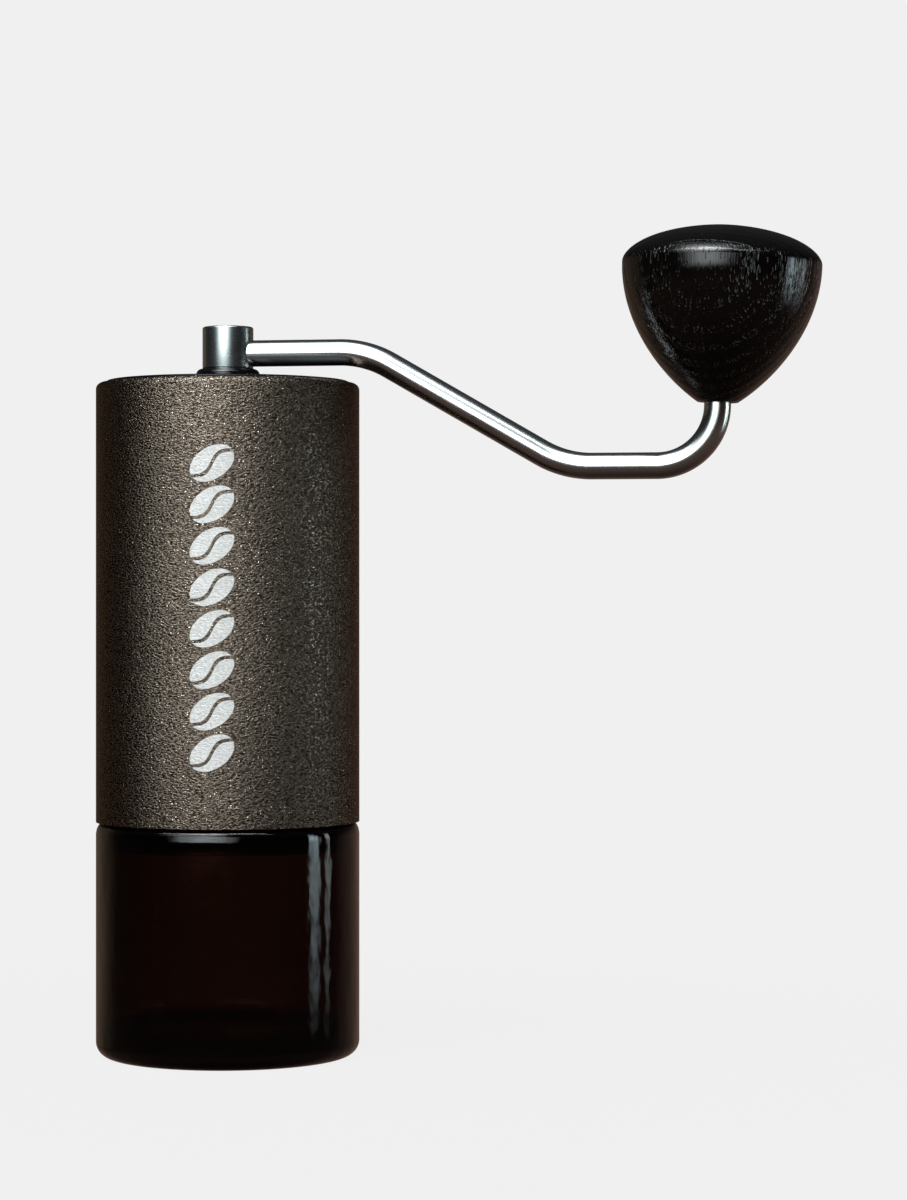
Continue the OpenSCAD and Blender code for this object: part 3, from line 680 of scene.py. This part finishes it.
def make_lid(material):
    """Cap with a skirt grooved for its seal, a boss for the collar and six ribs between the two."""
    low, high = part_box("lid")
    r, skirt_z0, z1 = high.x, low.z, high.z
    z0 = skirt_z0 + 4.8 * MM
    edge = 0.5 * MM
    skirt_r, skirt_wall = 24.6 * MM, 1.6 * MM
    groove_z, groove_h, groove_d = z0 - 2.4 * MM, 0.85 * MM, 0.7 * MM
    boss_r, boss_z0 = 9 * MM, z0 - 3.2 * MM
    bore = 6.4 * MM
    small = 0.3 * MM
    outline = (
        [(bore, boss_z0), (boss_r - small, boss_z0), (boss_r, boss_z0 + small), (boss_r, z0)]
        + [(skirt_r - skirt_wall, z0), (skirt_r - skirt_wall, skirt_z0 + small)]
        + arc((skirt_r - skirt_wall + small, skirt_z0 + small), small, 180, 270, 3)
        + arc((skirt_r - small, skirt_z0 + small), small, 270, 360, 3)
        + [(skirt_r, groove_z - groove_h), (skirt_r - groove_d, groove_z - groove_h)]
        + [(skirt_r - groove_d, groove_z + groove_h), (skirt_r, groove_z + groove_h), (skirt_r, z0)]
        + [(r - small, z0), (r, z0 + small)]
        + arc((r - edge, z1 - edge), edge, 0, 90, 8)
        + arc((boss_r + 1.5 * MM, z1 - 0.12 * MM), 0.12 * MM, 90, 180, 3)
        + [(bore + 1.1 * MM, z1 - 0.12 * MM), (bore, z1 - 0.12 * MM)]
    )
    bm = bmesh.new()
    add_lathe(bm, outline)
    for k in range(6):
        turn = Matrix.Rotation(math.pi * k / 3, 4, "Z")
        x0, x1, half, rib_z0 = boss_r - 1 * MM, skirt_r - 1 * MM, 0.6 * MM, z0 - 2 * MM
        rings = []
        for z, inset in ((rib_z0, 0.15 * MM), (rib_z0 + 0.2 * MM, 0.0), (z0 + 0.5 * MM, 0.0)):
            w = half - inset
            rings.append([turn @ Vector(p) for p in ((x0, -w, z), (x1, -w, z), (x1, w, z), (x0, w, z))])
        add_skin(bm, rings)
    lid = make_object("lid_cap", bm, material)
    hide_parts("lid")
    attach(lid, "lid")


def make_collar(material):
    """Flanged bush that the hub turns in."""
    low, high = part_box("lid_bush")
    flange_r, z0, z1 = high.x, low.z, high.z
    lid_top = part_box("lid")[1].z
    bore, body = 5.25 * MM, 6.4 * MM
    edge, under = 1.3 * MM, 0.35 * MM
    outline = (
        arc((bore + 0.3 * MM, z0 + 0.3 * MM), 0.3 * MM, 180, 270, 3)
        + [(body, z0), (body, lid_top)]
        + arc((flange_r - under, lid_top + under), under, -90, 0, 4)
        + arc((flange_r - edge, z1 - edge), edge, 0, 90, 8)
        + arc((bore + 0.25 * MM, z1 - 0.25 * MM), 0.25 * MM, 90, 180, 3)
    )
    collar = lathe("hub_collar", outline, material, sides=128)
    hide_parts("lid_bush")
    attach(collar, "lid")


HUB_GAP = 0.1 * MM          # between the hub's shoulder and the collar
SOCKET_GAP = 0.01 * MM


def make_hub(material):
    """Barrel on a thinner boss with a groove for its clip."""
    low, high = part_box("crank_hub")
    r, z0, z1 = high.x, low.z, high.z
    shoulder_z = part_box("lid_bush")[1].z + HUB_GAP
    collar_z0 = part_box("lid_bush")[0].z
    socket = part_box("drive_socket")[1]
    socket_r, socket_z1 = socket.x + SOCKET_GAP, socket.z + SOCKET_GAP
    boss_r = 5.2 * MM
    clip_low, clip_high, clip_depth = z0 + 0.6 * MM, collar_z0 - 0.08 * MM, 0.4 * MM
    edge, under = 0.5 * MM, 0.2 * MM
    outline = (
        [(socket_r, z0), (boss_r - 0.2 * MM, z0), (boss_r, z0 + 0.2 * MM), (boss_r, clip_low)]
        + [(boss_r - clip_depth, clip_low), (boss_r - clip_depth, clip_high), (boss_r, clip_high)]
        + [(boss_r, shoulder_z)]
        + arc((r - under, shoulder_z + under), under, -90, 0, 4)
        + arc((r - edge, z1 - edge), edge, 0, 90, 10)
        + [(0, z1), (0, socket_z1), (socket_r, socket_z1)]
    )
    hub = lathe("hub_barrel", outline, material, sides=160)
    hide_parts("crank_hub")
    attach(hub, "crank")


ARM_DROP = 26.2 * MM
ARM_SLOPE = math.radians(30)
FIRST_BEND_X = 32.3 * MM
SMALL_BEND = 23 * MM
LARGE_BEND = 13.5 * MM
ROD_SIDES = 64


def bend(corner, before, after, radius, steps):
    """Stations (x, z, direction) round one bend of the rod, in the XZ plane."""
    side = math.copysign(1, after - before)
    reach = radius * math.tan(abs(after - before) / 2)
    start = Vector(corner) - reach * Vector((math.cos(before), math.sin(before)))
    stations = []
    for i in range(steps + 1):
        a = before + (after - before) * i / steps
        shift = Vector((math.sin(a) - math.sin(before), math.cos(before) - math.cos(a)))
        point = start + side * radius * shift
        stations.append((point.x, point.y, a))
    return stations


def make_arm(material):
    """Rod from the hub down to the knob's foot and up through the knob, with a groove for the knob's clip."""
    low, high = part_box("crank_arm")
    rod_r = high.y
    low_z = low.z + rod_r
    upper_z = low_z + ARM_DROP
    knob_foot = Vector(joints["knob_spin"]["pos_m"])
    axis = Vector(joints["knob_spin"]["axis"]).normalized()
    rise = math.atan2(axis.z, axis.x)
    foot_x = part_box("crank_hub")[0].x + 2.2 * MM
    second_x = FIRST_BEND_X + ARM_DROP / math.tan(ARM_SLOPE)
    corner_x = knob_foot.x - (knob_foot.z - low_z) / math.tan(rise)
    top_x = high.x - rod_r * math.sin(rise)
    end = (top_x - knob_foot.x) / axis.x
    stations = [(foot_x, upper_z, 0.0), (0.0, upper_z, 0.0)]
    stations += [(FIRST_BEND_X * t, upper_z, 0.0) for t in (0.3, 0.55)]
    stations += bend((FIRST_BEND_X, upper_z), 0.0, -ARM_SLOPE, SMALL_BEND, 16)
    stations += bend((second_x, low_z), -ARM_SLOPE, 0.0, SMALL_BEND, 16)
    stations += bend((corner_x, low_z), 0.0, rise, LARGE_BEND, 36)
    rings = [(station, rod_r) for station in stations]
    groove, groove_r, chamfer = 21.6 * MM, rod_r - 0.5 * MM, 0.4 * MM
    groove_end = groove + 0.8 * MM
    for s, r in ((0, rod_r), (groove, rod_r), (groove, groove_r), (groove_end, groove_r),
                 (groove_end, rod_r), (end - chamfer, rod_r), (end, rod_r - chamfer)):
        rings.append(((knob_foot.x + s * axis.x, knob_foot.z + s * axis.z, rise), r))
    bm = bmesh.new()
    skin = []
    for (x, z, a), r in rings:
        above = Vector((-math.sin(a), 0, math.cos(a)))
        centre = Vector((x, 0, z))
        ring = []
        for k in range(ROD_SIDES):
            turn = 2 * math.pi * k / ROD_SIDES
            ring.append(centre + r * math.sin(turn) * above - Vector((0, r * math.cos(turn), 0)))
        skin.append(ring)
    add_skin(bm, skin)
    arm = make_object("crank_rod", bm, material)
    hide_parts("crank_arm")
    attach(arm, "crank")


def make_knob():
    """Turned knob: one curve from its foot to its widest ring and one over its dome."""
    foot = Vector(joints["knob_spin"]["pos_m"])
    axis = Vector(joints["knob_spin"]["axis"]).normalized()
    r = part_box("knob")[1].y
    foot_r, bore_r, bore_h, edge = 4.5 * MM, 3.91 * MM, 27 * MM, 0.25 * MM
    h = 39.5 * MM
    belly = 0.78 * h
    side = [(foot_r, 0), (0.582 * r, 0.143 * h), (r, 0.436 * h), (r, belly)]
    dome = [(r, belly), (r, 0.849 * h), (0.744 * r, 0.98 * h), (0, h)]
    outline = (
        [(bore_r, edge), (bore_r + edge * 0.6, 0)]
        + bezier(side, 48)
        + bezier(dome, 40, 1)
        + [(0, bore_h), (bore_r, bore_h)]
    )
    lean = Matrix.Rotation(math.atan2(axis.x, axis.z), 4, "Y")
    knob = lathe("knob_body", outline, stained_wood(foot, axis), sides=224,
                 place=Matrix.Translation(foot) @ lean, sharp=50)
    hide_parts("knob")
    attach(knob, "knob")


SPRING_WIRE_R = 0.55 * MM
SPRING_TURNS = 3


def make_burr_spring(material):
    """Coil between the burr's insert and the washer."""
    low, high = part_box("burr_spring")
    coil_r = high.x - SPRING_WIRE_R
    climb = high.z - low.z - 2 * SPRING_WIRE_R
    steps, sides = 72 * SPRING_TURNS, 16
    up = Vector((0, 0, 1))
    skin = []
    for k in range(steps + 1):
        a = 2 * math.pi * SPRING_TURNS * k / steps
        out = Vector((math.cos(a), math.sin(a), 0))
        centre = coil_r * out + (low.z + SPRING_WIRE_R + climb * k / steps) * up
        turns = (2 * math.pi * j / sides for j in range(sides))
        skin.append([centre + SPRING_WIRE_R * (math.cos(t) * out + math.sin(t) * up) for t in turns])
    bm = bmesh.new()
    add_skin(bm, skin)
    spring = make_object("burr_coil", bm, material)
    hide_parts("burr_spring")
    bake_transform(spring)


def finish_cad_nodes(materials):
    """Gives the inner pieces that stay as CAD solids the finish of their material slot."""
    slots = {part["node"]: part["material_slot"] for part in frame["record"]["subparts"]}
    for name, node in nodes.items():
        material = materials.get(slots.get(name))
        if material is None:
            continue
        node.data.materials.clear()
        node.data.materials.append(material)


def make_floor():
    """Wide floor that only the camera sees, so it lights nothing and mirrors in nothing."""
    half = 6.0
    bm = bmesh.new()
    corners = ((-half, -half), (half, -half), (half, half), (-half, half))
    bm.faces.new([bm.verts.new((x, y, 0)) for x, y in corners])
    floor = make_object("floor", bm, floor_paint())
    floor.visible_diffuse = False
    floor.visible_glossy = False
    floor.visible_transmission = False


make_camera()
make_lights()
make_world()
make_floor()
bpy.context.scene.view_settings.view_transform = "Standard"

satin_steel = steel("satin_steel", (0.62, 0.64, 0.64), 0.19)
turned_steel = steel("turned_steel", (0.58, 0.58, 0.57), 0.22, (0.05, 0.05, 1))
hub_steel = steel("hub_steel", (0.51, 0.58, 0.58), 0.26, (0.04, 0.04, 1))
lid_polymer = polymer("lid_polymer", (0.002, 0.002, 0.0025), 0.28, 2600, 0.004 * MM, 0.12)
gloss_polymer = polymer("gloss_polymer", (0.002, 0.002, 0.0025), 0.10, 400, 0.004 * MM)
frame_polymer = polymer("frame_polymer", (0.016, 0.016, 0.018), 0.45, 2200, 0.02 * MM)
spring_steel = steel("spring_steel", (0.34, 0.34, 0.35), 0.32)
finish_cad_nodes({
    "frame_polymer": frame_polymer,
    "lid_polymer": lid_polymer,
    "gloss_polymer": gloss_polymer,
    "seal_rubber": rubber(),
    "satin_steel": satin_steel,
    "turned_steel": turned_steel,
    "ball_steel": steel("ball_steel", (0.72, 0.72, 0.72), 0.08),
    "cage_brass": brass(),
    "spring_steel": spring_steel,
    "burr_steel": steel("burr_steel", (0.50, 0.49, 0.47), 0.30, (1, 1, 0.2), 0.004 * MM),
})
make_sleeve()
make_bean_marks()
make_jar()
make_lid(lid_polymer)
make_collar(gloss_polymer)
make_hub(hub_steel)
make_arm(satin_steel)
make_knob()
make_burr_spring(spring_steel)
